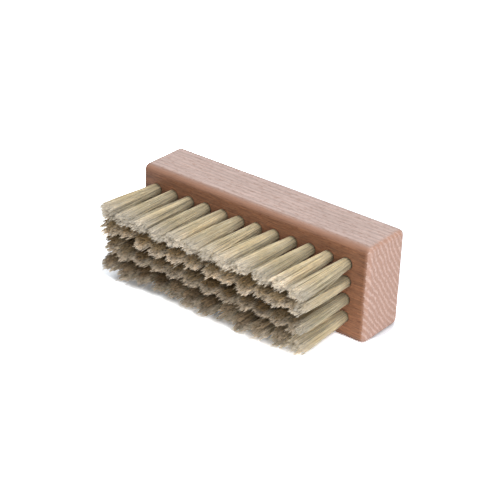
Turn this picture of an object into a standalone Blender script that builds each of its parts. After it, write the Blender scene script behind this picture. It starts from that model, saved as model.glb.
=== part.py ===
"""A block shoe brush: a drilled beech block with a grid of staple-set bristle tufts.

Metres, +Z up. The brush lies on one long side of its block, bristles forward:
+X runs along the block, the tufts leave the face at -Y, and the origin is the
centre of the long side that the block rests on.
"""

import math
import random

import bmesh
import bpy
from mathutils import Matrix, Vector

# Block, a single piece of beech with its grain along X
BLOCK_LENGTH = 0.120
BLOCK_THICKNESS = 0.0254
BLOCK_WIDTH = 0.0445
LONG_EDGE_RADIUS = 0.003
END_EDGE_RADIUS = 0.0024
EDGE_SEGMENTS = 4

# Blind holes, drilled square into the bristle face on a straight grid that
# lies a little off the middle of the block, towards its left end
COLUMNS = 12
ROWS = 4
END_MARGIN = 0.0094
SIDE_MARGIN = 0.0100
GRID_SHIFT = -0.0013
HOLE_RADIUS = 0.0027
HOLE_DEPTH = 0.011
HOLE_SIDES = 16
DRILL_POINT_ANGLE = math.radians(118)
CUT_OVERRUN = 0.001

# Root of a tuft: the bundle is folded in two and packed into its hole
BUNDLE_CLEARANCE = 0.0003
BUNDLE_SIDES = 8
COLLAR_HEIGHT = 0.0012
FOLD_HEIGHT = 0.003
FOLD_RIDGE_SHARE = 0.6
MERGE_DISTANCE = 0.00002

# Flat anchor wire that lies in the fold and holds it down
WIRE_THICKNESS = 0.0004
WIRE_HEIGHT = 0.0014
WIRE_ABOVE_RIDGE = 0.0006

# Free bristles, one core strand with a ring of wedge strands round it
FREE_LENGTH = 0.0345
TRIM_SLANT = 0.0011
TRIM_VARIATION = 0.001
RING_STRANDS = 7
STRAND_SIDES = 3
STRAND_SINK = 0.0006
TIP_GAP = 0.0007
ROOT_FILL_SHARE = 0.96
MIDDLE_SHARE = 0.45
RING_SHARE = 0.74
WEDGE_SHARE = 0.38
CORE_SHARE = 0.24
TIP_RING_SHARE = 0.80
TIP_WEDGE_SHARE = 0.35
TIP_SCATTER_SHARE = 0.05
SPREAD_POWER = 0.8
BEND_POWER = 1.3

# The tips: each tuft opens into a flat fan along the block, a little lifted
TIP_HALF_HEIGHT = 0.0023
TIP_LIFT = 0.0007
SEED = 48

BEECH_COLOUR = (0.58, 0.33, 0.22, 1.0)
BRISTLE_COLOUR = (0.66, 0.56, 0.36, 1.0)
BEECH_ROUGHNESS = 0.55
BRISTLE_ROUGHNESS = 0.6

COLUMN_PITCH = (BLOCK_LENGTH - 2 * END_MARGIN) / (COLUMNS - 1)
ROW_PITCH = (BLOCK_WIDTH - 2 * SIDE_MARGIN) / (ROWS - 1)
BUNDLE_RADIUS = HOLE_RADIUS - BUNDLE_CLEARANCE
ROOT_RADIUS = ROOT_FILL_SHARE * BUNDLE_RADIUS * math.cos(math.pi / BUNDLE_SIDES)
TIP_HALF_LENGTH = COLUMN_PITCH / 2 - TIP_GAP


def clear_scene():
    for item in list(bpy.data.objects):
        bpy.data.objects.remove(item)


def make_material(name, colour, roughness):
    material = bpy.data.materials.new(name)
    material.use_nodes = True
    shader = material.node_tree.nodes["Principled BSDF"]
    shader.inputs["Base Color"].default_value = colour
    shader.inputs["Roughness"].default_value = roughness
    shader.inputs["Metallic"].default_value = 0.0
    material.diffuse_color = colour
    return material


def make_object(name, bm, collection, material=None):
    """Turn a finished bmesh into an object of the collection."""
    bmesh.ops.recalc_face_normals(bm, faces=bm.faces)
    mesh = bpy.data.meshes.new(name)
    bm.to_mesh(mesh)
    bm.free()
    if material:
        mesh.materials.append(material)
    item = bpy.data.objects.new(name, mesh)
    collection.objects.link(item)
    return item


def freeze(item):
    """Replace an object's mesh by what its modifiers make of it."""
    depsgraph = bpy.context.evaluated_depsgraph_get()
    result = bpy.data.meshes.new_from_object(item.evaluated_get(depsgraph))
    item.modifiers.clear()
    item.data = result
    result.name = item.name


def combine(body, tool, operation):
    """Join the tool to the body, or cut it out, and take the tool away."""
    modifier = body.modifiers.new(operation.lower(), "BOOLEAN")
    modifier.operation = operation
    modifier.solver = "EXACT"
    modifier.object = tool
    freeze(body)
    bpy.data.objects.remove(tool)


def shade(item, angle):
    item.data.shade_smooth()
    item.data.set_sharp_from_angle(angle=angle)


def centred(index, count):
    """An index counted from the middle of its row: -1 at one end, 1 at the other."""
    return 2 * index / (count - 1) - 1 if count > 1 else 0.0


def hole_mouth(column, row):
    """Centre of a hole's mouth on the bristle face."""
    x = GRID_SHIFT + centred(column, COLUMNS) * COLUMN_PITCH * (COLUMNS - 1) / 2
    z = BLOCK_WIDTH / 2 + centred(row, ROWS) * ROW_PITCH * (ROWS - 1) / 2
    return Vector((x, -BLOCK_THICKNESS / 2, z))


def face_out(item, mouth):
    """Stand an object on the bristle face: its own Z points out of the hole."""
    item.location = mouth
    item.rotation_euler = (math.radians(90), 0, 0)


def make_block(collection, cutters, material):
    """The block, its edges rounded by weight and its face drilled."""
    bm = bmesh.new()
    size = Matrix.Diagonal((BLOCK_LENGTH, BLOCK_THICKNESS, BLOCK_WIDTH, 1))
    bmesh.ops.create_cube(bm, size=1, matrix=size)
    weight = bm.edges.layers.float.new("bevel_weight_edge")
    for edge in bm.edges:
        start, end = (vertex.co.x for vertex in edge.verts)
        runs_along_block = start * end < 0
        edge[weight] = 1.0 if runs_along_block else END_EDGE_RADIUS / LONG_EDGE_RADIUS
    block = make_object("block", bm, collection, material)
    block.location = (0, 0, BLOCK_WIDTH / 2)

    rounding = block.modifiers.new("rounding", "BEVEL")
    rounding.limit_method = "WEIGHT"
    rounding.width = LONG_EDGE_RADIUS
    rounding.segments = EDGE_SEGMENTS
    freeze(block)

    combine(block, make_drills(cutters), "DIFFERENCE")
    shade(block, math.radians(35))
    return block


def make_drills(cutters):
    """One drill with its point, repeated over the grid of holes."""
    bm = bmesh.new()
    shank = HOLE_DEPTH + CUT_OVERRUN
    middle = Matrix.Translation((0, 0, CUT_OVERRUN - shank / 2))
    bmesh.ops.create_cone(bm, cap_ends=True, segments=HOLE_SIDES, radius1=HOLE_RADIUS,
                          radius2=HOLE_RADIUS, depth=shank, matrix=middle)
    bottom = min(bm.faces, key=lambda face: face.calc_center_median().z)
    point = bmesh.ops.poke(bm, faces=[bottom])["verts"][0]
    point.co.z -= HOLE_RADIUS / math.tan(DRILL_POINT_ANGLE / 2)
    drill = make_object("drill", bm, cutters)
    drill.hide_render = True
    drill.display_type = "WIRE"
    face_out(drill, hole_mouth(0, 0))

    steps = (("columns", COLUMNS, (COLUMN_PITCH, 0, 0)), ("rows", ROWS, (0, ROW_PITCH, 0)))
    for name, count, step in steps:
        array = drill.modifiers.new(name, "ARRAY")
        array.count = count
        array.use_relative_offset = False
        array.use_constant_offset = True
        array.constant_offset_displace = step
    return drill


def add_bundle_root(bm):
    """The packed root: a round plug that narrows to the ridge of its fold."""
    shoulder = FOLD_HEIGHT - HOLE_DEPTH
    height = COLLAR_HEIGHT - shoulder
    middle = Matrix.Translation((0, 0, shoulder + height / 2))
    bmesh.ops.create_cone(bm, cap_ends=True, segments=BUNDLE_SIDES, radius1=BUNDLE_RADIUS,
                          radius2=BUNDLE_RADIUS, depth=height, matrix=middle)
    bottom = min(bm.faces, key=lambda face: face.calc_center_median().z)
    fold = bmesh.ops.extrude_discrete_faces(bm, faces=[bottom])["faces"][0]
    ridge = list(fold.verts)
    bmesh.ops.delete(bm, geom=[fold], context="FACES_ONLY")
    for vertex in ridge:
        vertex.co.x *= FOLD_RIDGE_SHARE
        vertex.co.y = 0
        vertex.co.z = -HOLE_DEPTH
    bmesh.ops.remove_doubles(bm, verts=ridge, dist=MERGE_DISTANCE)


def add_anchor_wire(bm):
    """The flat wire across the fold, its ends level with the bundle's sides."""
    middle = Matrix.Translation((0, 0, WIRE_ABOVE_RIDGE - HOLE_DEPTH + WIRE_HEIGHT / 2))
    size = Matrix.Diagonal((2 * BUNDLE_RADIUS, WIRE_THICKNESS, WIRE_HEIGHT, 1))
    bmesh.ops.create_cube(bm, size=1, matrix=middle @ size)


def add_strand(bm, centres, radii, turn):
    """One strand of three sides, lofted through its stations."""
    rings = []
    for centre, radius in zip(centres, radii):
        place = Matrix.Translation(centre) @ Matrix.Rotation(turn, 4, "Z")
        ring = bmesh.ops.create_circle(bm, segments=STRAND_SIDES, radius=radius, matrix=place)
        rings.append(ring["verts"])
    for lower, upper in zip(rings, rings[1:]):
        for side in range(STRAND_SIDES):
            after = (side + 1) % STRAND_SIDES
            bm.faces.new((lower[side], lower[after], upper[after], upper[side]))
    bm.faces.new(rings[0])
    bm.faces.new(rings[-1])


def free_length(column):
    """Length of a tuft's bristles, trimmed on a slight slant along the block."""
    return FREE_LENGTH + TRIM_SLANT * centred(column, COLUMNS)


def in_section(along, place):
    """A place in the unit circle, set in the tuft's cross-section at a share of its length.

    The section is round at the root and a flat oval at the tips.
    """
    opening = along ** SPREAD_POWER
    half_length = ROOT_RADIUS + (TIP_HALF_LENGTH - ROOT_RADIUS) * opening
    half_height = ROOT_RADIUS + (TIP_HALF_HEIGHT - ROOT_RADIUS) * opening
    lift = TIP_LIFT * along ** BEND_POWER
    return Vector((place.x * half_length, place.y * half_height + lift, 0))


def strand_centres(angle, shares, length):
    """Stations of a strand: inside the collar, along the bend, and at the tip."""
    heights = (COLLAR_HEIGHT - STRAND_SINK, MIDDLE_SHARE * length, length)
    outward = Vector((math.cos(angle), math.sin(angle), 0))
    return [in_section(along, outward * share) + Vector((0, 0, height))
            for height, along, share in zip(heights, (0, MIDDLE_SHARE, 1), shares)]


def add_free_bristles(bm, trimmed, chance):
    """A core strand and a ring of wedges that open out and never cross."""
    start = chance.uniform(0, math.tau)
    for strand in range(RING_STRANDS + 1):
        length = trimmed + TRIM_VARIATION * chance.uniform(-1, 1)
        angle = start + math.tau * strand / RING_STRANDS
        is_core = strand == RING_STRANDS
        if is_core:
            shares = (0, 0, 0)
            widths = (CORE_SHARE, CORE_SHARE, CORE_SHARE)
        else:
            scatter = TIP_SCATTER_SHARE * chance.uniform(-1, 1)
            shares = (RING_SHARE, RING_SHARE, TIP_RING_SHARE + scatter)
            widths = (WEDGE_SHARE, TIP_WEDGE_SHARE, TIP_WEDGE_SHARE)
        centres = strand_centres(angle, shares, length)
        radii = [width * ROOT_RADIUS for width in widths]
        add_strand(bm, centres, radii, angle + math.pi / 2)


def make_tuft(column, row, collection, cutters, material):
    """One tuft, from the fold round its anchor wire to its trimmed tips."""
    chance = random.Random(SEED + row * COLUMNS + column)
    bm = bmesh.new()
    add_bundle_root(bm)
    name = f"tuft_r{row + 1}_c{column + 1:02d}"
    tuft = make_object(name, bm, collection, material)

    bm = bmesh.new()
    add_anchor_wire(bm)
    add_free_bristles(bm, free_length(column), chance)
    additions = make_object("wire_and_bristles", bm, cutters)
    combine(tuft, additions, "UNION")
    shade(tuft, math.radians(50))
    face_out(tuft, hole_mouth(column, row))
    return tuft


def main():
    clear_scene()
    brush = bpy.data.collections.new("shoe_brush")
    cutters = bpy.data.collections.new("cutters")
    for collection in (brush, cutters):
        bpy.context.scene.collection.children.link(collection)

    beech = make_material("beech", BEECH_COLOUR, BEECH_ROUGHNESS)
    bristle = make_material("bristle", BRISTLE_COLOUR, BRISTLE_ROUGHNESS)

    carrier = bpy.data.objects.new("shoe_brush_origin", None)
    brush.objects.link(carrier)
    pieces = [make_block(brush, cutters, beech)]
    for row in range(ROWS):
        for column in range(COLUMNS):
            pieces.append(make_tuft(column, row, brush, cutters, bristle))
    for piece in pieces:
        piece.parent = carrier


main()
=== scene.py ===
"""Looks of a block shoe brush: steamed beech, natural bristle and a plain studio.

Metres, +Z up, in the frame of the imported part. The tufts leave the block at -Y.
"""

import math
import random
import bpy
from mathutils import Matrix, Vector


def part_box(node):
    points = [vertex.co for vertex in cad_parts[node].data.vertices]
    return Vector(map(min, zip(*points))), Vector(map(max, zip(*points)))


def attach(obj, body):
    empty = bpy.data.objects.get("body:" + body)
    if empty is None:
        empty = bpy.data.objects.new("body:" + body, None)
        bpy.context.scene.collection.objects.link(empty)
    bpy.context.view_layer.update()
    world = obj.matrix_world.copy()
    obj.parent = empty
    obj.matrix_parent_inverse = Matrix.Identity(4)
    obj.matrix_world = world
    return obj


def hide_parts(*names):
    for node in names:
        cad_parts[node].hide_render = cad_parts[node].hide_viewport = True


bl_info = {
    "name": "Block Shoe Brush",
    "version": (1, 0, 0),
    "blender": (4, 5, 0),
    "location": "View3D > Sidebar > Shoe Brush",
    "description": "Beech block, bristle tufts and stage of a shoe brush",
    "category": "Object",
}

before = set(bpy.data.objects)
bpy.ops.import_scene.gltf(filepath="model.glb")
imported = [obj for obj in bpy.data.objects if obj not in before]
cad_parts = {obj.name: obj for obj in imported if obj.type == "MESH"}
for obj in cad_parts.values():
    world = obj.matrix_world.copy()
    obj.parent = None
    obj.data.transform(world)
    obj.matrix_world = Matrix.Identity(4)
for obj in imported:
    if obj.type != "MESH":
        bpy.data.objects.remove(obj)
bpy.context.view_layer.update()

import bpy
import numpy as np
from bpy.props import FloatProperty, FloatVectorProperty, IntProperty, PointerProperty
from bpy.types import Operator, Panel, PropertyGroup
from mathutils import Matrix, Vector

BODY = "root"
BLOCK_LOW, BLOCK_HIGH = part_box("block")
BLOCK_SIZE = BLOCK_HIGH - BLOCK_LOW
BLOCK_MIDDLE = (BLOCK_HIGH + BLOCK_LOW) / 2
MM = 0.001

# Grid of holes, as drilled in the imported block
COLUMNS = 12
ROWS = 4
END_MARGIN = 0.0094
SIDE_MARGIN = 0.0100
GRID_SHIFT = -0.0013
COLUMN_PITCH = (BLOCK_SIZE.x - 2 * END_MARGIN) / (COLUMNS - 1)
ROW_PITCH = (BLOCK_SIZE.z - 2 * SIDE_MARGIN) / (ROWS - 1)
DRILL_POINT_ANGLE = math.radians(118)
DRILL_OVERRUN = 0.002
MOUTH_BREAK = 0.00018
TOUCHING = 0.1 * MM
ON_FACE = 0.01 * MM
ON_RIM = 0.03 * MM

# How strongly the rounded edges take the edge colour of handling marks and painted shade: along
# the block, and round its ends
EDGE_RUB_AND_SHADE = 1.5
END_EDGE_RUB_AND_SHADE = 0.8

# Beech, in millimetres: its pith, the width of a year and how far its lines stray
PITH = (0, 100, 96)
YEAR_WIDTH = 2.3
WANDER = 5.0
WAVINESS = 2.2

# How a packed tuft opens, as in the solids
RING_LOCKS = 7
RING_SHARE = 0.74
CORE_REACH = 0.40
TIP_RING_SHARE = 0.80
TIP_SCATTER_SHARE = 0.05
SPREAD_POWER = 0.8
BEND_POWER = 1.3
TRIM_VARIATION = 0.001
SEED = 48
GOLDEN_TURN = math.pi * (3 - math.sqrt(5))

# Stations of a bristle: two under the mouth of the hole, then shares of its free length
FOLD_DEPTH = 0.0107
PACKED_DEPTH = 0.0075
FREE_STATIONS = (0.0, 0.32, 0.7, 0.93, 1.0)
STATION_SHARES = (0.0, 0.0) + FREE_STATIONS
STATIONS = len(STATION_SHARES)
BRISTLE_SIDES = 3
TAPER = ((0, 0.6, 0.93, 1), (1, 0.95, 0.85, 0.5))
THICKNESSES = (0.8, 1.15)

# The fold: how narrow it is, the gap over the wire, and its rise away from the wire
FOLD_NARROWING = 0.62
FOLD_THINNING = 0.06
FOLD_GAP = 0.1 * MM
LEG_GAP = 0.32 * MM
FOLD_RISE = 0.25 * MM

# The bundle in its mouth: a rounded square, flatter at the upper right, off the middle
SQUARING = -0.15
ROOT_CUT = 0.7
ROOT_SCATTER = 0.06 * MM
SEAT = np.array([-0.15, 0.0]) * MM

# How much taller the fans of the left column and of the lowest row open at their tips
LEFT_COLUMN_SPREAD = 1.5
LOWEST_ROW_SPREAD = 1.3
LOCK_GATHER = (0.75, 1.08)

# Lean at the tips, along and up, and how far tufts of the lowest row sink, by column
LOWEST_LIFT = -0.2 * MM
LEAN_SCATTER = (0.35 * MM, 0.6 * MM)
LOWEST_DROPS = {0: 0.9 * MM, 1: 0.9 * MM, COLUMNS - 1: 0.5 * MM}
BOW = 0.16 * MM
RIPPLE = 0.10 * MM

# Ends of the bristles in the top row and in the lower rows, lengths in millimetres
FRAY = (0.22, 0.15)
SIDE_ROUNDING = (1.2, 2.0)
FEATHER = (3.6, 7.0)
EVENNESS = (1.0, 1.5)
CLUMP_PULL = (0.1, 0.2)

# Ends of the bristles in any row: trim, strays, broken and split ones
ROUNDED_FROM = 0.3
TRIM_SIZES = (0.88, 1.1)
LOCK_TRIM_SHARE = 0.8
TUFT_UNEVENNESS = 0.7 * MM
STRAY_CHANCE = 0.035
STRAY_FRAY = 1.1
BROKEN_CHANCE = 0.15
BROKEN_OFF = 1.5 * MM
SPLIT_SPREAD = 0.3 * MM
SPLIT_LENGTH = 0.35 * MM
SPLIT_THICKNESS = np.array([0.8, 0.7])

# Clumps of tips that hold together, numbered by the steps of their cells
CLUMP_SIZE = 0.0009
CLUMP_STEPS = (7, 31)
CLUMPS = 97
CLUMP_SHARE = 0.35
CLUMP_TONES = (0.87, 1.13)

# Light in a bristle, tones of its lock and how far its colours shift along it
GLOW_SHARE = 0.40
LOCK_TONES = (0.88, 1.06)
PLACE_SCATTER = (-0.02, 0.03)

# Painted shade on the lower rows, lowest first, as colour factors: deep between the rows, lighter
# on the rims of the tips
GAP_SHADE_TINTS = np.array(((0.36, 0.275, 0.19), (0.35, 0.265, 0.165), (0.58, 0.475, 0.325)))
RIM_SHADE_TINTS = np.array(((0.76, 0.72, 0.67), (0.86, 0.81, 0.76), (1.0, 0.96, 0.92)))

# How this painted shade fades to both ends and to the right end, and how bare of it the last
# column is
END_FADE = (0.7, 0.1, 0.15)
RIGHT_FADE = (0.45, 0.0, 0.15)
LAST_COLUMN_BARE = (3.0, 0.6, 0.6)
DEPTH_RANGE = (0.75, 1.25)
GAP_STRETCH = (0.3, 0.7)
RIM_STRETCH = (0.75, 0.93)
RIM_SHARE = 0.25
RIM_BELOW = 0.9
RIM_BESIDE = 0.7

# Painted light on the top row and its growth toward the right end, and painted light and shade on
# the last column's right side, by row
TOP_ROW_SHADE = 0.99
TOP_ROW_LIGHT_SLOPE = 0.07
SIDE_SHADES = (1.15, 0.8, 1.0, 0.78)

# Where the floor keeps its shadow: in front, and where that edge turns at the left
FLOOR_CLEAR = 0.0336
FLOOR_FADE = 0.011
FLOOR_TURN_FROM = -0.02
FLOOR_TURN = 0.12
FRONT_GAIN = 9
NEAR_GAIN = (1.48, 1.5, 1.53)

# Beside the tufts, as place, fade and gain; at the foot of the right end; far away
FLOOR_SIDES = ((-0.064, -0.011, 1.6), (0.0435, 0.0035, 2.3))
CONTACT_PLACE = (0.059, 0.003, 0.0)
CONTACT_REACH = (0.005, 0.016, 1.0)
CONTACT_STOPS = ((0.45, 0.3), (1.0, 1.0))
FAR_STOPS = ((0.1, 1.0), (0.25, 5.0))

# Lamps: their place, what they look at, their side and their colour
OVERHEAD_LAMP = ((0.10, -0.25, 0.93), (0, 0, 0), 1.1, (0.94, 0.98, 1.0))
SIDE_LAMP = ((0.80, -0.45, 0.28), (0, 0, 0.02), 0.6, (1, 1, 1))

# Flat anchor wire in the fold
WIRE_THICKNESS = 0.0004
WIRE_HEIGHT = 0.0014
WIRE_LENGTH = 0.0048
WIRE_MIDDLE_DEPTH = 0.0097
WIRE_EASE = 0.00008

# Camera that was fitted to the block's edges in the photograph
CAMERA_AZIMUTH = math.radians(37.35)
CAMERA_ELEVATION = math.radians(27.89)
CAMERA_ROLL = math.radians(2.22)
CAMERA_DISTANCE = 0.716
FOCAL_PIXELS = 1678.0
IMAGE_SIDE = 500.0
BLOCK_PIXEL = (268.1, 241.4)
SENSOR_WIDTH = 36.0


class BrushBlock(PropertyGroup):
    """Sizes of the beech block."""

    long_edge_radius: FloatProperty(
        name="Long Edge Radius", description="Rounding of the four long edges",
        default=0.003, min=0.0005, max=0.008, unit="LENGTH")
    end_edge_radius: FloatProperty(
        name="End Edge Radius", description="Rounding of the edges round both ends",
        default=0.0024, min=0.0003, max=0.005, unit="LENGTH")
    hole_radius: FloatProperty(
        name="Hole Radius", description="Radius of the holes that hold the tufts",
        default=0.0027, min=0.001, max=0.004, unit="LENGTH")
    hole_depth: FloatProperty(
        name="Hole Depth", description="Depth of the holes down to the drill point",
        default=0.011, min=0.004, max=0.016, unit="LENGTH")


class BrushTufts(PropertyGroup):
    """Sizes of the bristle tufts."""

    bristles: IntProperty(
        name="Bristles", description="Bristles in each tuft", default=420, min=40, max=600)
    thickness: FloatProperty(
        name="Bristle Thickness", description="Radius of a bristle at its thick end",
        default=0.00014, min=0.00004, max=0.0004, precision=5, unit="LENGTH")
    root_radius: FloatProperty(
        name="Root Radius", description="Radius of the packed bundle in its hole",
        default=0.0023, min=0.001, max=0.0027, unit="LENGTH")
    free_length: FloatProperty(
        name="Free Length", description="Bristle length in front of the face",
        default=0.0345, min=0.01, max=0.06, unit="LENGTH")
    trim_slant: FloatProperty(
        name="Trim Slant", description="How much longer the tufts are at the right end",
        default=0.0011, min=-0.004, max=0.004, unit="LENGTH")
    tip_half_length: FloatProperty(
        name="Tip Half Length", description="Half the breadth of a fan, along the block",
        default=0.0042, min=0.002, max=0.006, unit="LENGTH")
    tip_half_height: FloatProperty(
        name="Tip Half Height", description="Half the thickness of a fan at its tips",
        default=0.0022, min=0.001, max=0.005, unit="LENGTH")
    end_slant: FloatProperty(
        name="End Slant", description="How much shorter the upper bristles of a low fan are",
        default=0.0025, min=0, max=0.008, unit="LENGTH")
    tip_lift: FloatProperty(
        name="Tip Lift", description="How far the tips stand over the roots",
        default=0.0007, min=-0.005, max=0.005, unit="LENGTH")


class BrushFinish(PropertyGroup):
    """Colours of the wood and the bristle."""

    # Painted sheen: the lit copy of the beech, paled by a painted sheen
    wood: FloatVectorProperty(
        name="Wood", description="Steamed beech on the long sides and the back",
        default=(0.47, 0.345, 0.305), min=0, max=1, subtype="COLOR")
    # Painted shade: a darker, more saturated copy of the beech for the drilled face
    wood_front_shade: FloatVectorProperty(
        name="Bristle Face", description="Deeper colour of the face that is drilled",
        default=(0.222, 0.095, 0.047), min=0, max=1, subtype="COLOR")
    wood_end: FloatVectorProperty(
        name="End Grain", description="Sanded end grain between its growth lines",
        default=(0.375, 0.22, 0.169), min=0, max=1, subtype="COLOR")
    wood_end_line: FloatVectorProperty(
        name="End Grain Line", description="Pale band of each year's growth",
        default=(0.51, 0.355, 0.30), min=0, max=1, subtype="COLOR")
    wood_fleck: FloatVectorProperty(
        name="Ray Fleck", description="How the short dark rays tint the beech",
        default=(0.82, 0.74, 0.69), min=0, max=1, subtype="COLOR")
    # Handling marks and painted shade: the rounded edges darken where they turn from the light
    wood_edge_and_shade: FloatVectorProperty(
        name="Eased Edge", description="Rounded edges, rubbed warmer by handling",
        default=(0.235, 0.11, 0.062), min=0, max=1, subtype="COLOR")
    # Painted shade: the bristle darker where the block face shades its root
    bristle_root_shade: FloatVectorProperty(
        name="Bristle Root", description="Bristle where it leaves the block",
        default=(0.63, 0.52, 0.34), min=0, max=1, subtype="COLOR")
    bristle: FloatVectorProperty(
        name="Bristle", description="Bristle along its length",
        default=(0.89, 0.78, 0.56), min=0, max=1, subtype="COLOR")
    bristle_tip: FloatVectorProperty(
        name="Bristle Tip", description="Frayed pale tip of a bristle",
        default=(0.96, 0.88, 0.755), min=0, max=1, subtype="COLOR")


class BrushStage(PropertyGroup):
    """Floor and light."""

    floor_colour: FloatVectorProperty(
        name="Floor", description="Colour of the floor under the brush",
        default=(0.84, 0.85, 0.87), min=0, max=1, subtype="COLOR")
    key_power: FloatProperty(
        name="Overhead Lamp", description="Power of the large lamp above and in front",
        default=11.7, min=0, max=200, unit="POWER")
    fill_power: FloatProperty(
        name="Side Lamp", description="Power of the lamp at the right end",
        default=7.5, min=0, max=200, unit="POWER")
    room_light: FloatProperty(
        name="Room Light", description="Strength of the even light from all round",
        default=0.26, min=0, max=2)


def start_piece():
    """Leave edit mode and deselect everything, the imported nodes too."""
    if bpy.context.object and bpy.context.object.mode != "OBJECT":
        bpy.ops.object.mode_set(mode="OBJECT")
    bpy.ops.object.select_all(action="DESELECT")


def pick(item, element, test):
    """In edit mode, select just the vertices, edges or faces that pass a test."""
    bpy.ops.mesh.select_mode(type=element)
    bpy.ops.mesh.select_all(action="DESELECT")
    bpy.ops.object.mode_set(mode="OBJECT")
    mesh = item.data
    parts = {"VERT": mesh.vertices, "EDGE": mesh.edges, "FACE": mesh.polygons}[element]
    for part in parts:
        part.select = test(part)
    bpy.ops.object.mode_set(mode="EDIT")


def ends(item, edge):
    """The two ends of an edge."""
    first, second = edge.vertices
    return item.data.vertices[first].co, item.data.vertices[second].co


def apply_all(item):
    """Apply an object's modifiers in order."""
    start_piece()
    item.select_set(True)
    bpy.context.view_layer.objects.active = item
    for name in [modifier.name for modifier in item.modifiers]:
        bpy.ops.object.modifier_apply(modifier=name)


def hole_mouth(column, row):
    """Centre of a hole's mouth on the bristle face."""
    x = BLOCK_MIDDLE.x + GRID_SHIFT + (column - (COLUMNS - 1) / 2) * COLUMN_PITCH
    z = BLOCK_MIDDLE.z + (row - (ROWS - 1) / 2) * ROW_PITCH
    return Vector((x, BLOCK_LOW.y, z))


def centred(index, count):
    """An index counted from the middle of its row: -1 at one end, 1 at the other."""
    return 2 * index / (count - 1) - 1


def new_material(name):
    """A material with its node tree and its shader node."""
    material = bpy.data.materials.new(name)
    material.use_nodes = True
    tree = material.node_tree
    return material, tree, tree.nodes["Principled BSDF"]


def node(tree, kind, inputs=None, **settings):
    """Add a node, set its settings, and set or link its inputs."""
    made = tree.nodes.new(kind)
    for name, value in settings.items():
        setattr(made, name, value)
    for name, value in (inputs or {}).items():
        feed(tree, made.inputs[name], value)
    return made


def feed(tree, socket, value):
    """Link an output to an input, or set the input's value."""
    if isinstance(value, bpy.types.NodeSocket):
        tree.links.new(value, socket)
    elif hasattr(value, "__len__") and len(value) == 3 and socket.type == "RGBA":
        socket.default_value = (*value, 1)
    else:
        socket.default_value = value


def ramp(tree, value, stops):
    """A colour ramp from (place, grey) or (place, colour) stops."""
    made = node(tree, "ShaderNodeValToRGB", {"Fac": value})
    elements = made.color_ramp.elements
    while len(elements) < len(stops):
        elements.new(0.5)
    for element, (place, colour) in zip(elements, stops):
        element.position = place
        grey = not hasattr(colour, "__len__")
        element.color = (colour, colour, colour, 1) if grey else (*colour, 1)
    return made.outputs["Color"]


def blend_colours(tree, amount, first, second, kind="MIX"):
    """Mix two colours."""
    made = node(tree, "ShaderNodeMix", data_type="RGBA", blend_type=kind)
    feed(tree, made.inputs[0], amount)
    feed(tree, made.inputs[6], first)
    feed(tree, made.inputs[7], second)
    return made.outputs[2]


def multiply_colours(tree, first, second):
    """Multiply two colours."""
    return blend_colours(tree, 1.0, first, second, "MULTIPLY")


def calculate(tree, kind, first, second=0.0):
    """A sum on two values."""
    return node(tree, "ShaderNodeMath", {0: first, 1: second}, operation=kind).outputs[0]


def calculate_vector(tree, kind, first, second):
    """A sum on two vectors."""
    return node(tree, "ShaderNodeVectorMath", {0: first, 1: second}, operation=kind).outputs[0]


def vector_length(tree, vector):
    """How long a vector is."""
    made = node(tree, "ShaderNodeVectorMath", {0: vector}, operation="LENGTH")
    return made.outputs["Value"]


def add_bump(tree, shader, strength, distance, height):
    """Give a shader a bump."""
    bump = node(tree, "ShaderNodeBump", {
        "Strength": strength, "Distance": distance, "Height": height})
    feed(tree, shader.inputs["Normal"], bump.outputs[0])


def stretched_noise(tree, place, scale, size, detail=3.0, roughness=0.55):
    """Noise with its own stretch along each axis. place is in millimetres."""
    mapping = node(tree, "ShaderNodeMapping", {"Vector": place, "Scale": scale})
    return node(tree, "ShaderNodeTexNoise", {
        "Vector": mapping.outputs[0], "Scale": size, "Detail": detail,
        "Roughness": roughness}).outputs["Fac"]


def in_millimetres(tree):
    """Object coordinates in millimetres."""
    place = node(tree, "ShaderNodeTexCoord").outputs["Object"]
    return node(tree, "ShaderNodeMapping", {
        "Vector": place, "Scale": (1 / MM, 1 / MM, 1 / MM)}).outputs[0]


def growth_lines(tree, place):
    """Late wood of each year, round a far pith, from 0 to 1."""
    wander = stretched_noise(tree, place, (0.012, 0.05, 0.05), 1.0, 2.0)
    from_pith = calculate_vector(tree, "SUBTRACT", place, PITH)
    across = calculate_vector(tree, "MULTIPLY", from_pith, (0, 1, 1))
    waves = stretched_noise(tree, place, (0.012, 0.16, 0.16), 1.0, 2.0)
    strayed = calculate(tree, "ADD", vector_length(tree, across), calculate(
        tree, "ADD", calculate(tree, "MULTIPLY", wander, WANDER),
        calculate(tree, "MULTIPLY", waves, WAVINESS)))
    year = calculate(tree, "FRACT", calculate(tree, "DIVIDE", strayed, YEAR_WIDTH))
    return ramp(tree, year, (
        (0.0, 0.0), (0.4, 0.05), (0.62, 1.0), (0.78, 1.0), (1.0, 0.0)))


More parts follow.
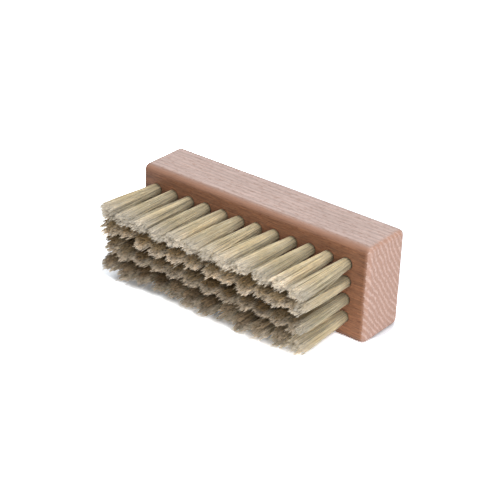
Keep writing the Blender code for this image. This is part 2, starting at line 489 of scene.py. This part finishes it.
def side_grain(tree, place, finish, at_front, late_wood, fibre, fleck):
    """Colour of the long sides; on the drilled face a deeper copy of the wood as painted shade,
    rougher, and lighter at its foot as painted floor bounce.
    """
    # Painted shade: the drilled face takes the darker copy of the beech
    grain = blend_colours(tree, at_front, tuple(finish.wood), tuple(finish.wood_front_shade))
    grain = multiply_colours(tree, grain, ramp(tree, late_wood, ((0.0, 1.05), (1.0, 0.88))))
    grain = multiply_colours(tree, grain, ramp(tree, fibre, ((0.3, 0.78), (0.7, 1.14))))
    deep_streak = ramp(tree, fibre, ((0.32, 0.72), (0.68, 1.28)))
    grain = blend_colours(tree, at_front, grain, multiply_colours(tree, grain, deep_streak))
    broad = stretched_noise(tree, place, (0.02, 0.1, 0.1), 1.0, 2.0)
    grain = multiply_colours(tree, grain, ramp(tree, broad, ((0.3, 0.90), (0.7, 1.06))))
    # Painted floor bounce: the drilled face lighter low down, darker toward its top
    height = node(tree, "ShaderNodeSeparateXYZ", {0: place}).outputs["Z"]
    painted_bounce_light = ramp(tree, calculate(tree, "DIVIDE", height, BLOCK_SIZE.z / MM), (
        (0.1, 1.3), (0.85, 0.86)))
    grain = blend_colours(tree, at_front, grain, multiply_colours(tree, grain, painted_bounce_light))
    marks = blend_colours(tree, fleck, (1, 1, 1), tuple(finish.wood_fleck))
    return multiply_colours(tree, grain, marks)


def beech_material(finish):
    """Beech: growth lines round a far pith, fibres, ray flecks, and rounded edges darkened by
    handling marks and painted shade.
    """
    material, tree, shader = new_material("beech")
    place = in_millimetres(tree)
    late_wood = growth_lines(tree, place)
    fibre = stretched_noise(tree, place, (0.05, 1.0, 1.0), 2.6, 4.0, 0.65)
    dashes = stretched_noise(tree, place, (0.28, 1.0, 1.0), 1.9, 1.0, 0.4)
    fleck = ramp(tree, dashes, ((0.55, 0.0), (0.65, 1.0)))
    facing = node(tree, "ShaderNodeAttribute", attribute_name="facing").outputs["Vector"]
    at_end, at_front, wear_and_shade = node(tree, "ShaderNodeSeparateXYZ", {0: facing}).outputs

    long_grain = side_grain(tree, place, finish, at_front, late_wood, fibre, fleck)
    # Rounded edges take the darker edge colour: handling marks and painted shade
    worn_and_shaded = calculate(tree, "MULTIPLY", wear_and_shade, calculate(tree, "ADD", fibre, 0.25))
    long_grain = blend_colours(tree, worn_and_shaded, long_grain, tuple(finish.wood_edge_and_shade))

    pores = stretched_noise(tree, place, (0.3, 1.0, 1.0), 1.1, 3.0, 0.65)
    broken = calculate(tree, "MULTIPLY", late_wood, ramp(tree, pores, ((0.33, 0.1), (0.55, 1.0))))
    end_grain = blend_colours(tree, broken, tuple(finish.wood_end), tuple(finish.wood_end_line))
    pitted = ramp(tree, pores, ((0.3, 0.84), (0.65, 1.08)))
    end_grain = multiply_colours(tree, end_grain, pitted)
    half_worn_and_shaded = calculate(tree, "MULTIPLY", worn_and_shaded, 0.5)
    end_grain = blend_colours(tree, half_worn_and_shaded, end_grain, tuple(finish.wood_edge_and_shade))
    jagged = calculate(tree, "ADD", at_end, calculate(tree, "SUBTRACT", pores, 0.5))
    crossing = ramp(tree, jagged, ((0.42, 0.0), (0.58, 1.0)))
    colour = blend_colours(tree, crossing, long_grain, end_grain)
    feed(tree, shader.inputs["Base Color"], colour)

    rough = ramp(tree, fibre, ((0.3, 0.62), (0.7, 0.48)))
    feed(tree, shader.inputs["Roughness"], rough)
    relief = calculate(tree, "SUBTRACT", calculate(tree, "MULTIPLY", fibre, 0.7),
                       calculate(tree, "MULTIPLY", fleck, 0.35))
    add_bump(tree, shader, 0.5, 0.00012, relief)
    shader.inputs["Specular IOR Level"].default_value = 0.5
    return material


def bristle_material(finish):
    """Natural bristle, darker at its root as painted shade of the block face, and frayed pale at
    its tip.

    The attribute strand holds the place along a bristle and its tone, and the attribute tint a
    colour factor: the random tone of a lock with painted light and shade.
    """
    material, tree, shader = new_material("bristle")
    strand = node(tree, "ShaderNodeAttribute", attribute_name="strand").outputs["Vector"]
    parts = node(tree, "ShaderNodeSeparateXYZ", {0: strand})
    along, tone = parts.outputs[0], parts.outputs[1]

    mottle = stretched_noise(tree, in_millimetres(tree), (1.6, 0.35, 1.6), 1.0, 3.0)
    # Along a bristle: painted shade at its root, its own colour, then its pale tip
    colour = ramp(tree, along, (
        (0.0, tuple(finish.bristle_root_shade)), (0.22, tuple(finish.bristle)),
        (0.62, tuple(finish.bristle)), (1.0, tuple(finish.bristle_tip))))
    shade = ramp(tree, tone, ((0.0, 0.62), (0.25, 0.90), (0.8, 1.05), (1.0, 1.14)))
    colour = multiply_colours(tree, colour, shade)
    # tint: the random tone of each lock with painted light and shade
    tint = node(tree, "ShaderNodeAttribute", attribute_name="tint").outputs["Color"]
    colour = multiply_colours(tree, colour, tint)
    spots = ramp(tree, mottle, ((0.3, 0.88), (0.7, 1.08)))
    colour = multiply_colours(tree, colour, spots)
    feed(tree, shader.inputs["Base Color"], colour)

    feed(tree, shader.inputs["Roughness"], ramp(tree, tone, ((0.0, 0.42), (1.0, 0.58))))
    scales = stretched_noise(tree, in_millimetres(tree), (6.0, 1.5, 6.0), 1.0, 2.0)
    add_bump(tree, shader, 0.3, 0.00003, scales)
    shader.inputs["Specular IOR Level"].default_value = 0.4
    glow = node(tree, "ShaderNodeBsdfTranslucent", {"Color": colour})
    both = node(tree, "ShaderNodeMixShader", {
        0: GLOW_SHARE, 1: shader.outputs[0], 2: glow.outputs[0]})
    tree.links.new(both.outputs[0], tree.nodes["Material Output"].inputs["Surface"])
    return material


def wire_material():
    """Drawn steel wire with fine lines along it."""
    material, tree, shader = new_material("anchor_wire_steel")
    drawn = stretched_noise(tree, in_millimetres(tree), (0.4, 12.0, 12.0), 1.0, 3.0)
    feed(tree, shader.inputs["Base Color"],
         ramp(tree, drawn, ((0.3, (0.42, 0.40, 0.37)), (0.7, (0.60, 0.59, 0.56)))))
    feed(tree, shader.inputs["Roughness"], ramp(tree, drawn, ((0.3, 0.45), (0.7, 0.28))))
    add_bump(tree, shader, 0.3, 0.00002, drawn)
    shader.inputs["Metallic"].default_value = 1.0
    return material


def make_drills(sizes):
    """One drill with its point, repeated over the grid of holes."""
    start_piece()
    mouth = hole_mouth(0, 0)
    depth = sizes.hole_depth + DRILL_OVERRUN
    bpy.ops.mesh.primitive_cylinder_add(
        vertices=32, radius=sizes.hole_radius, depth=depth,
        location=(mouth.x, mouth.y - DRILL_OVERRUN + depth / 2, mouth.z),
        rotation=(math.radians(90), 0, 0))
    drill = bpy.context.object
    bpy.ops.object.transform_apply(location=True, rotation=True, scale=True)
    inner = mouth.y + sizes.hole_depth
    bpy.ops.object.mode_set(mode="EDIT")
    pick(drill, "FACE", lambda face: face.center.y > inner - TOUCHING)
    bpy.ops.mesh.poke()
    pick(drill, "VERT", lambda point: point.co.y > inner - TOUCHING
         and abs(point.co.x - mouth.x) + abs(point.co.z - mouth.z) < TOUCHING)
    point = sizes.hole_radius / math.tan(DRILL_POINT_ANGLE / 2)
    bpy.ops.transform.translate(value=(0, point, 0))
    bpy.ops.object.mode_set(mode="OBJECT")
    for name, count, step in (("columns", COLUMNS, (COLUMN_PITCH, 0, 0)),
                              ("rows", ROWS, (0, 0, ROW_PITCH))):
        array = drill.modifiers.new(name, "ARRAY")
        array.count = count
        array.use_relative_offset = False
        array.use_constant_offset = True
        array.constant_offset_displace = step
    apply_all(drill)
    return drill


def on_a_mouth(point, radius):
    """True for a point on the rim of a hole's mouth."""
    if abs(point.y - BLOCK_LOW.y) > ON_FACE:
        return False
    column = round((point.x - hole_mouth(0, 0).x) / COLUMN_PITCH)
    row = round((point.z - hole_mouth(0, 0).z) / ROW_PITCH)
    return abs((point - hole_mouth(column, row)).length - radius) < ON_RIM


def facing(point, sizes):
    """How much a point belongs to an end, to the bristle face, and to a rounded edge."""
    gaps = [BLOCK_SIZE[i] / 2 - abs(point[i] - BLOCK_MIDDLE[i]) for i in range(3)]
    at_end = 1 - gaps[0] / sizes.end_edge_radius
    at_front = 1 - (point.y - BLOCK_LOW.y) / sizes.long_edge_radius
    along_block = 1 - max(gaps[1], gaps[2]) / sizes.long_edge_radius
    round_ends = max(1 - max(gaps[0], gaps[i]) / sizes.end_edge_radius for i in (1, 2))
    # Share of the darker edge colour: handling marks and painted shade
    rubbed_and_shaded = EDGE_RUB_AND_SHADE * max(along_block, END_EDGE_RUB_AND_SHADE * round_ends)
    return [max(0.0, min(1.0, value)) for value in (at_end, at_front, rubbed_and_shaded)]


def make_block(sizes, finish):
    """The block: rounded by the given sizes, drilled, its hole mouths just broken."""
    start_piece()
    bpy.ops.mesh.primitive_cube_add(size=1, location=BLOCK_MIDDLE, scale=BLOCK_SIZE)
    block = bpy.context.object
    block.name = "beech_block"
    bpy.ops.object.transform_apply(location=True, rotation=True, scale=True)
    bpy.ops.object.mode_set(mode="EDIT")

    pick(block, "EDGE", lambda edge: abs(
        ends(block, edge)[0].x - ends(block, edge)[1].x) > BLOCK_SIZE.x / 2)
    bpy.ops.transform.edge_bevelweight(value=1)
    pick(block, "EDGE", lambda edge: abs(
        ends(block, edge)[0].x - ends(block, edge)[1].x) < BLOCK_SIZE.x / 2)
    bpy.ops.transform.edge_bevelweight(value=sizes.end_edge_radius / sizes.long_edge_radius)
    bpy.ops.object.mode_set(mode="OBJECT")
    rounding = block.modifiers.new("rounding", "BEVEL")
    rounding.limit_method = "WEIGHT"
    rounding.width = sizes.long_edge_radius
    rounding.segments = 8
    apply_all(block)

    drill = make_drills(sizes)
    cut = block.modifiers.new("holes", "BOOLEAN")
    cut.operation = "DIFFERENCE"
    cut.solver = "EXACT"
    cut.object = drill
    apply_all(block)
    bpy.data.objects.remove(drill)

    bpy.ops.object.mode_set(mode="EDIT")
    pick(block, "EDGE", lambda edge: all(
        on_a_mouth(end, sizes.hole_radius) for end in ends(block, edge)))
    bpy.ops.mesh.bevel(offset=MOUTH_BREAK, segments=2, affect="EDGES")
    bpy.ops.object.mode_set(mode="OBJECT")
    bpy.ops.object.shade_smooth_by_angle(angle=math.radians(35))
    block.modifiers.new("even shading", "WEIGHTED_NORMAL").keep_sharp = True
    apply_all(block)

    faces = block.data.attributes.new("facing", "FLOAT_VECTOR", "POINT")
    faces.data.foreach_set("vector", [
        value for point in block.data.vertices for value in facing(point.co, sizes)])
    block.data.materials.clear()
    block.data.materials.append(beech_material(finish))
    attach(block, BODY)
    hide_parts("block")


def make_bundle(name, stations, sizes):
    """One bristle with its stations, repeated as many times as a tuft has bristles."""
    start_piece()
    bpy.ops.mesh.primitive_cylinder_add(
        vertices=BRISTLE_SIDES, radius=1, depth=stations - 1,
        location=(0, 0, (stations - 1) / 2))
    bundle = bpy.context.object
    bundle.name = name
    bpy.ops.object.transform_apply(location=True, rotation=True, scale=True)
    if stations > 2:
        bpy.ops.object.mode_set(mode="EDIT")
        pick(bundle, "EDGE", lambda edge: abs(
            ends(bundle, edge)[0].z - ends(bundle, edge)[1].z) > 0.5)
        bpy.ops.mesh.subdivide(number_cuts=stations - 2)
        bpy.ops.object.mode_set(mode="OBJECT")
    bpy.ops.object.shade_smooth()
    copies = bundle.modifiers.new("bristles", "ARRAY")
    copies.count = sizes.bristles
    copies.use_relative_offset = False
    copies.use_constant_offset = True
    copies.constant_offset_displace = (3, 0, 0)
    one = np.array([v.co for v in bundle.data.vertices])
    apply_all(bundle)
    return bundle, one


def make_wire(material):
    """The flat anchor wire, its edges eased."""
    start_piece()
    bpy.ops.mesh.primitive_cube_add(size=1, scale=(WIRE_LENGTH, WIRE_HEIGHT, WIRE_THICKNESS))
    wire = bpy.context.object
    bpy.ops.object.transform_apply(location=True, rotation=True, scale=True)
    bpy.ops.object.mode_set(mode="EDIT")
    bpy.ops.mesh.select_all(action="SELECT")
    bpy.ops.mesh.bevel(offset=WIRE_EASE, segments=2, affect="EDGES")
    bpy.ops.object.mode_set(mode="OBJECT")
    bpy.ops.object.shade_smooth_by_angle(angle=math.radians(40))
    wire.data.materials.append(material)
    return wire


def lock_plan(column, row):
    """Where the locks of a tuft stand: their turn, and each lock's tip share and length."""
    chance = random.Random(SEED + row * COLUMNS + column)
    start = chance.uniform(0, math.tau)
    shares, trims = [], []
    for lock in range(RING_LOCKS + 1):
        trims.append(TRIM_VARIATION * chance.uniform(-1, 1))
        if lock < RING_LOCKS:
            shares.append(TIP_RING_SHARE + TIP_SCATTER_SHARE * chance.uniform(-1, 1))
    return start, np.array(shares + [0.0]), np.array(trims)


def packed_roots(start, sizes, chance):
    """Where the bristles of a packed bundle stand, and the lock that each belongs to."""
    index = np.arange(sizes.bristles)
    reach = np.sqrt((index + 0.5) / sizes.bristles)
    angle = index * GOLDEN_TURN + start
    squared = (np.cos(angle) ** 4 + np.sin(angle) ** 4) ** SQUARING
    root = np.stack([np.cos(angle), np.sin(angle)], 1) * (
        reach * squared * sizes.root_radius)[:, None]
    up_right, down_right = root.sum(1) / 2, (root[:, 0] - root[:, 1]) / 2
    up_right = np.where(up_right > 0, ROOT_CUT, 1) * up_right
    root = np.stack([up_right + down_right, up_right - down_right], 1)
    root += chance.normal(0, ROOT_SCATTER, root.shape)
    sector = np.round((angle - start) / math.tau * RING_LOCKS).astype(int) % RING_LOCKS
    return root, np.where(reach < CORE_REACH, RING_LOCKS, sector)


def fanned_tips(root, lock, start, tip_shares, half_sizes, low, sizes, chance):
    """Where the bristles end across the tuft: each lock opens as one, and its tips fray."""
    lock_angle = start + math.tau * lock / RING_LOCKS
    outward = np.stack([np.cos(lock_angle), np.sin(lock_angle)], 1)
    lock_root = outward * RING_SHARE * (lock < RING_LOCKS)[:, None]
    lock_tip = outward * tip_shares[lock][:, None]
    stray = chance.random_sample(sizes.bristles) < STRAY_CHANCE
    spread = np.where(stray, STRAY_FRAY, FRAY[low])[:, None]
    fray = chance.normal(0, 1, root.shape) * spread * MM
    gather = chance.uniform(*LOCK_GATHER, RING_LOCKS + 1)[lock][:, None]
    opened = (root / sizes.root_radius - lock_root) * gather
    return (lock_tip + opened) * half_sizes + fray


def trimmed(tip, trims, half_sizes, length, low, sizes, chance):
    """The tips drawn to their clumps, the clump of each bristle, and its length."""
    beside = np.clip(np.abs(tip[:, 0]) / half_sizes[0] - ROUNDED_FROM, 0, 1)
    rounding = SIDE_ROUNDING[low] * MM * beside ** 2
    cell = np.floor(tip / CLUMP_SIZE).astype(int)
    clump = cell @ CLUMP_STEPS % CLUMPS
    tip = tip + CLUMP_PULL[low] * ((cell + 0.5) * CLUMP_SIZE - tip)
    shortness = CLUMP_SHARE * chance.random_sample(CLUMPS)[clump] ** EVENNESS[low]
    shortness += (1 - CLUMP_SHARE) * chance.random_sample(sizes.bristles) ** EVENNESS[low]
    uneven = chance.normal(0, TUFT_UNEVENNESS)
    lengths = length + uneven + trims * LOCK_TRIM_SHARE - FEATHER[low] * MM * shortness - rounding
    lengths -= low * sizes.end_slant * np.clip(tip[:, 1] / half_sizes[1] + 1, 0, 2) / 2
    lengths -= chance.exponential(BROKEN_OFF, sizes.bristles) * (
        chance.random_sample(sizes.bristles) < BROKEN_CHANCE)
    return tip, clump, np.minimum(lengths, length + TRIM_VARIATION)


def centre_lines(root, tip, lean, lengths, sizes, chance):
    """Stations of the bristles: folded over the wire, packed in the hole, then free."""
    bow = chance.normal(0, BOW, root.shape)
    turn = chance.uniform(0, math.tau, sizes.bristles)
    ripple = RIPPLE * np.stack([np.cos(turn), np.sin(turn)], 1)
    lines = np.zeros((sizes.bristles, STATIONS, 3))
    side = np.where(root[:, 1] < 0, -1.0, 1.0)
    folded = np.stack([root[:, 0] * FOLD_NARROWING,
                       side * FOLD_GAP + root[:, 1] * FOLD_THINNING], 1)
    packed = np.stack([root[:, 0], side * np.maximum(np.abs(root[:, 1]), LEG_GAP)], 1)
    for station, across, depth in ((0, folded, FOLD_DEPTH), (1, packed, PACKED_DEPTH)):
        lines[:, station, :2] = across
        lines[:, station, 2] = -depth + FOLD_RISE * np.abs(root[:, 1]) / sizes.root_radius
    for station, share in enumerate(FREE_STATIONS, start=2):
        across = root + (tip - root) * share ** SPREAD_POWER + lean * share ** BEND_POWER + SEAT
        across += bow * math.sin(math.pi * share) + ripple * math.sin(2 * math.pi * share)
        lines[:, station, :2] = across
        lines[:, station, 2] = lengths * share
    return lines


def paint_shade_between_rows(tint, column, row, tip, level, half_sizes, clump, sizes, chance):
    """Paint shade on a lower tuft where the row above covers it, deepest between the rows and
    lighter on the rims of its tips.
    """
    place = centred(column, COLUMNS)
    covered = 1 - (column == COLUMNS - 1) * np.clip(
        2 * tip[:, 0] / sizes.tip_half_length + LAST_COLUMN_BARE[row], 0, 1)
    rim = np.clip(RIM_SHARE - RIM_BELOW * tip[:, 1] / half_sizes[1]
                  + RIM_BESIDE * (tip[:, 0] / half_sizes[0]) ** 2, 0, 1)
    at_end = np.interp(STATION_SHARES, RIM_STRETCH, (0, 1)) * (covered * rim)[:, None]
    in_gap = np.interp(level, GAP_STRETCH, (0, 1)) * covered[:, None] - at_end
    gap_shade = GAP_SHADE_TINTS[row] ** (
        chance.uniform(*DEPTH_RANGE) - END_FADE[row] * place ** 2 - RIGHT_FADE[row] * place)
    tint *= 1 - in_gap[:, :, None] * (1 - gap_shade)
    rim_shade = RIM_SHADE_TINTS[row] ** (1 - RIGHT_FADE[row] * 2 * max(place, 0))
    tint *= 1 - at_end[:, :, None] * (1 - rim_shade)
    tint *= chance.uniform(*CLUMP_TONES, CLUMPS)[clump][:, None, None]


def bristle_lines(column, row, sizes):
    """Centre line of every bristle of a tuft, its radius and its attribute values."""
    chance = np.random.RandomState(SEED + row * COLUMNS + column)
    start, tip_shares, trims = lock_plan(column, row)
    low = int(row < ROWS - 1)
    half_sizes = np.array([sizes.tip_half_length, sizes.tip_half_height])
    if row == 0:
        half_sizes[1] *= LOWEST_ROW_SPREAD
    elif column == 0:
        half_sizes[1] *= LEFT_COLUMN_SPREAD

    root, lock = packed_roots(start, sizes, chance)
    tip = fanned_tips(root, lock, start, tip_shares, half_sizes, low, sizes, chance)
    lean = np.array([0.0, sizes.tip_lift if row else LOWEST_LIFT])
    lean += chance.normal(0, 1, 2) * LEAN_SCATTER
    if row == 0:
        lean[1] -= LOWEST_DROPS.get(column, 0)
    half_sizes *= chance.uniform(*TRIM_SIZES, 2)
    length = sizes.free_length + sizes.trim_slant * centred(column, COLUMNS)
    tip, clump, lengths = trimmed(tip, trims[lock], half_sizes, length, low, sizes, chance)
    lines = centre_lines(root, tip, lean, lengths, sizes, chance)

    tone = chance.random_sample(sizes.bristles)
    lock_tone = chance.uniform(*LOCK_TONES, RING_LOCKS + 1)[lock]
    place_shift = chance.uniform(*PLACE_SCATTER, sizes.bristles)
    strand = np.zeros((sizes.bristles, STATIONS, 3))
    # Measured along the tuft, not each bristle, so the ends of short bristles deep in the tuft
    # miss the pale tip colour: a painted shade
    strand[:, :, 0] = np.maximum(lines[:, :, 2], 0) / length + place_shift[:, None]
    strand[:, :, 1] = tone[:, None]
    tint = np.ones((sizes.bristles, STATIONS, 3)) * lock_tone[:, None, None]
    # Painted shade on the lower rows, deepest between the rows
    if low:
        paint_shade_between_rows(tint, column, row, tip, lines[:, :, 2] / length,
                           half_sizes, clump, sizes, chance)
    else:
        # Painted light on the top row, brighter toward the right end
        tint *= TOP_ROW_SHADE + TOP_ROW_LIGHT_SLOPE * centred(column, COLUMNS)
    # Painted light and shade on the right side of the last column, by row
    if column == COLUMNS - 1:
        to_side = np.clip(tip[:, 0] / half_sizes[0], 0, 1)
        tint *= (1 - to_side * (1 - SIDE_SHADES[row]))[:, None, None]

    thickness = chance.uniform(*THICKNESSES, sizes.bristles)
    radii = sizes.thickness * np.interp(STATION_SHARES, *TAPER)[None, :] * thickness[:, None]
    split = lines[:, -2:].copy()
    split[:, 1, :2] += chance.normal(0, SPLIT_SPREAD, root.shape)
    split[:, 1, 2] += chance.normal(0, SPLIT_LENGTH, sizes.bristles)
    split[:, 1, 2] = np.minimum(split[:, 1, 2], length + TRIM_VARIATION)
    return ((lines, radii, strand, tint),
            (split, radii[:, -2:] * SPLIT_THICKNESS, strand[:, -2:], tint[:, -2:]))


def copy_of(item):
    """A copy of an object with a mesh of its own, left selected and active."""
    start_piece()
    item.select_set(True)
    bpy.context.view_layer.objects.active = item
    bpy.ops.object.duplicate(linked=False)
    return bpy.context.object


def lay_bristles(pattern, one, mouth, lines, radii, strand, tint, material):
    """A copy of a bundle with each of its bristles laid along its own line."""
    laid = copy_of(pattern)
    station = np.rint(one[:, 2]).astype(int)
    points = lines[:, station]
    points[:, :, :2] += one[None, :, :2] * radii[:, station][:, :, None]
    world = np.empty_like(points)
    world[:, :, 0] = mouth.x + points[:, :, 0]
    world[:, :, 1] = mouth.y - points[:, :, 2]
    world[:, :, 2] = mouth.z + points[:, :, 1]
    laid.data.vertices.foreach_set("co", world.ravel())
    for name, values in (("strand", strand), ("tint", tint)):
        stored = laid.data.attributes.new(name, "FLOAT_VECTOR", "POINT")
        stored.data.foreach_set("vector", values[:, station].ravel())
    laid.data.materials.clear()
    laid.data.materials.append(material)
    return laid


def make_tuft(column, row, patterns, wire, sizes, material):
    """A tuft: its bristles, their split ends and its anchor wire."""
    mouth = hole_mouth(column, row)
    laid = [lay_bristles(pattern, one, mouth, *drawn, material) for (pattern, one), drawn
            in zip(patterns, bristle_lines(column, row, sizes))]
    own_wire = copy_of(wire)
    own_wire.location = mouth + Vector((0, WIRE_MIDDLE_DEPTH, 0))
    bpy.ops.object.transform_apply(location=True, rotation=True, scale=True)
    tuft = laid[0]
    for item in laid:
        item.select_set(True)
    bpy.context.view_layer.objects.active = tuft
    bpy.ops.object.join()
    tuft.name = f"bristle_tuft_r{row + 1}_c{column + 1:02d}"
    bpy.ops.object.mode_set(mode="EDIT")
    bpy.ops.mesh.select_all(action="SELECT")
    bpy.ops.mesh.normals_make_consistent(inside=False)
    bpy.ops.object.mode_set(mode="OBJECT")
    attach(tuft, BODY)
    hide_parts(f"tuft_r{row + 1}_c{column + 1:02d}")


def make_tufts(sizes, finish):
    """All tufts, each with bristles of its own."""
    patterns = [make_bundle("bundle", STATIONS, sizes), make_bundle("split_ends", 2, sizes)]
    bristle = bristle_material(finish)
    wire = make_wire(wire_material())
    for row in range(ROWS):
        for column in range(COLUMNS):
            make_tuft(column, row, patterns, wire, sizes, bristle)
    for pattern in [pattern for pattern, one in patterns] + [wire]:
        bpy.data.objects.remove(pattern)


def shown_to_camera(tree, place, tint):
    """The floor's colour to the camera: its shadow only near the tufts and the right end."""
    parts = node(tree, "ShaderNodeSeparateXYZ", {0: place})
    leftward = calculate(tree, "MAXIMUM", calculate(
        tree, "SUBTRACT", FLOOR_TURN_FROM, parts.outputs["X"]), 0.0)
    turned = calculate(tree, "ADD", parts.outputs["Y"], calculate(
        tree, "MULTIPLY", leftward, FLOOR_TURN))
    in_front = calculate(tree, "DIVIDE", calculate(
        tree, "ADD", turned, FLOOR_CLEAR + FLOOR_FADE), FLOOR_FADE)
    shown = multiply_colours(tree, tint, ramp(
        tree, in_front, ((0.0, FRONT_GAIN), (1.0, NEAR_GAIN))))
    for edge, fade, gain in FLOOR_SIDES:
        beyond = calculate(tree, "DIVIDE", calculate(
            tree, "SUBTRACT", parts.outputs["X"], edge), fade)
        shown = multiply_colours(tree, shown, ramp(tree, beyond, ((0.0, 1.0), (1.0, gain))))
    from_end = calculate_vector(tree, "DIVIDE", calculate_vector(
        tree, "SUBTRACT", place, CONTACT_PLACE), CONTACT_REACH)
    shown = multiply_colours(tree, shown, ramp(
        tree, vector_length(tree, from_end), CONTACT_STOPS))
    return multiply_colours(tree, shown, ramp(tree, vector_length(tree, place), FAR_STOPS))


def floor_material(colour):
    """Pale floor that shows white to the camera and keeps the shadow."""
    material, tree, shader = new_material("floor")
    place = node(tree, "ShaderNodeTexCoord").outputs["Object"]
    grain = node(tree, "ShaderNodeTexNoise", {"Vector": place, "Scale": 900.0})
    tint = ramp(tree, grain.outputs["Fac"], (
        (0.3, tuple(c * 0.99 for c in colour)), (0.7, tuple(colour))))
    rays = node(tree, "ShaderNodeLightPath")
    tint = blend_colours(tree, rays.outputs["Is Camera Ray"], tint,
                         shown_to_camera(tree, place, tint))
    diffuse = node(tree, "ShaderNodeBsdfDiffuse", {"Color": tint})
    tree.links.new(diffuse.outputs[0], tree.nodes["Material Output"].inputs["Surface"])
    tree.nodes.remove(shader)
    return material


def make_floor(colour):
    """A wide plain floor."""
    start_piece()
    bpy.ops.mesh.primitive_plane_add(size=6, location=(0, 0, 0))
    floor = bpy.context.object
    floor.name = "floor"
    floor.data.materials.append(floor_material(colour))


def make_lamp(name, power, place, target, side, colour):
    """A square soft lamp that looks at a point."""
    start_piece()
    bpy.ops.object.light_add(type="AREA", location=place)
    lamp = bpy.context.object
    lamp.name = name
    lamp.data.shape = "SQUARE"
    lamp.data.size = side
    lamp.data.energy = power
    lamp.data.color = colour
    lamp.rotation_mode = "QUATERNION"
    lamp.rotation_quaternion = (Vector(target) - Vector(place)).to_track_quat("-Z", "Y")


def make_room(strength):
    """Even light from all round, white where the camera or a reflection sees it."""
    world = bpy.data.worlds.new("room")
    bpy.context.scene.world = world
    world.use_nodes = True
    tree = world.node_tree
    background = tree.nodes["Background"]
    rays = node(tree, "ShaderNodeLightPath")
    seen = calculate(tree, "MAXIMUM", rays.outputs["Is Camera Ray"],
                     calculate(tree, "MAXIMUM", rays.outputs["Is Glossy Ray"],
                               rays.outputs["Is Transmission Ray"]))
    level = node(tree, "ShaderNodeMix", data_type="FLOAT")
    feed(tree, level.inputs[0], seen)
    feed(tree, level.inputs[2], strength)
    feed(tree, level.inputs[3], 1.0)
    background.inputs["Color"].default_value = (1, 1, 1, 1)
    feed(tree, background.inputs["Strength"], level.outputs[0])


def make_camera():
    """The camera at the photograph's place."""
    azimuth, elevation = CAMERA_AZIMUTH, CAMERA_ELEVATION
    back = Vector((math.sin(azimuth) * math.cos(elevation),
                   -math.cos(azimuth) * math.cos(elevation), math.sin(elevation)))
    level_right = Vector((math.cos(azimuth), math.sin(azimuth), 0))
    level_up = back.cross(level_right)
    cosine, sine = math.cos(CAMERA_ROLL), math.sin(CAMERA_ROLL)
    right = cosine * level_right + sine * level_up
    up = cosine * level_up - sine * level_right
    scale = CAMERA_DISTANCE / FOCAL_PIXELS
    shown_right = (BLOCK_PIXEL[0] - IMAGE_SIDE / 2) * scale
    shown_up = -(BLOCK_PIXEL[1] - IMAGE_SIDE / 2) * scale
    place = BLOCK_MIDDLE - shown_right * right - shown_up * up + CAMERA_DISTANCE * back
    start_piece()
    bpy.ops.object.camera_add(location=place)
    camera = bpy.context.object
    camera.name = "camera"
    turn = Matrix((right, up, back)).transposed()
    camera.rotation_mode = "QUATERNION"
    camera.rotation_quaternion = turn.to_quaternion()
    camera.data.sensor_width = SENSOR_WIDTH
    camera.data.lens = FOCAL_PIXELS / IMAGE_SIDE * SENSOR_WIDTH
    camera.data.clip_start = 0.01
    camera.data.clip_end = 20
    bpy.context.scene.camera = camera


def make_stage(settings):
    """Floor, lamps, room light and camera."""
    make_floor(tuple(settings.floor_colour))
    make_lamp("overhead_lamp", settings.key_power, *OVERHEAD_LAMP)
    make_lamp("side_lamp", settings.fill_power, *SIDE_LAMP)
    make_room(settings.room_light)
    make_camera()
    bpy.context.scene.view_settings.view_transform = "Standard"


class SHOEBRUSH_OT_block(Operator):
    """Make the beech block with its drilled holes"""

    bl_idname = "shoebrush.block"
    bl_label = "Make Block"

    def execute(self, context):
        make_block(context.scene.brush_block, context.scene.brush_finish)
        return {"FINISHED"}


class SHOEBRUSH_OT_tufts(Operator):
    """Make the bristle tufts with their anchor wires"""

    bl_idname = "shoebrush.tufts"
    bl_label = "Make Tufts"

    def execute(self, context):
        make_tufts(context.scene.brush_tufts, context.scene.brush_finish)
        return {"FINISHED"}


class SHOEBRUSH_OT_stage(Operator):
    """Make the floor, lamps, room light and camera"""

    bl_idname = "shoebrush.stage"
    bl_label = "Make Stage"

    def execute(self, context):
        make_stage(context.scene.brush_stage)
        return {"FINISHED"}


class SHOEBRUSH_PT_parts(Panel):
    """Sidebar panel that makes the brush piece by piece"""

    bl_idname = "SHOEBRUSH_PT_parts"
    bl_label = "Shoe Brush"
    bl_space_type = "VIEW_3D"
    bl_region_type = "UI"
    bl_category = "Shoe Brush"

    def draw(self, context):
        for group, operator in (("brush_block", "shoebrush.block"),
                                ("brush_tufts", "shoebrush.tufts"),
                                ("brush_stage", "shoebrush.stage")):
            box = self.layout.box()
            values = getattr(context.scene, group)
            for name in values.__annotations__:
                box.prop(values, name)
            box.operator(operator)
        box = self.layout.box()
        for name in context.scene.brush_finish.__annotations__:
            box.prop(context.scene.brush_finish, name)


CLASSES = (BrushBlock, BrushTufts, BrushFinish, BrushStage, SHOEBRUSH_OT_block,
           SHOEBRUSH_OT_tufts, SHOEBRUSH_OT_stage, SHOEBRUSH_PT_parts)
GROUPS = {"brush_block": BrushBlock, "brush_tufts": BrushTufts,
          "brush_finish": BrushFinish, "brush_stage": BrushStage}


def register():
    for cls in CLASSES:
        bpy.utils.register_class(cls)
    for name, group in GROUPS.items():
        setattr(bpy.types.Scene, name, PointerProperty(type=group))


def unregister():
    for name in GROUPS:
        delattr(bpy.types.Scene, name)
    for cls in reversed(CLASSES):
        bpy.utils.unregister_class(cls)


def main():
    register()
    bpy.ops.shoebrush.block()
    bpy.ops.shoebrush.tufts()
    bpy.ops.shoebrush.stage()


if __name__ == "__main__":
    main()
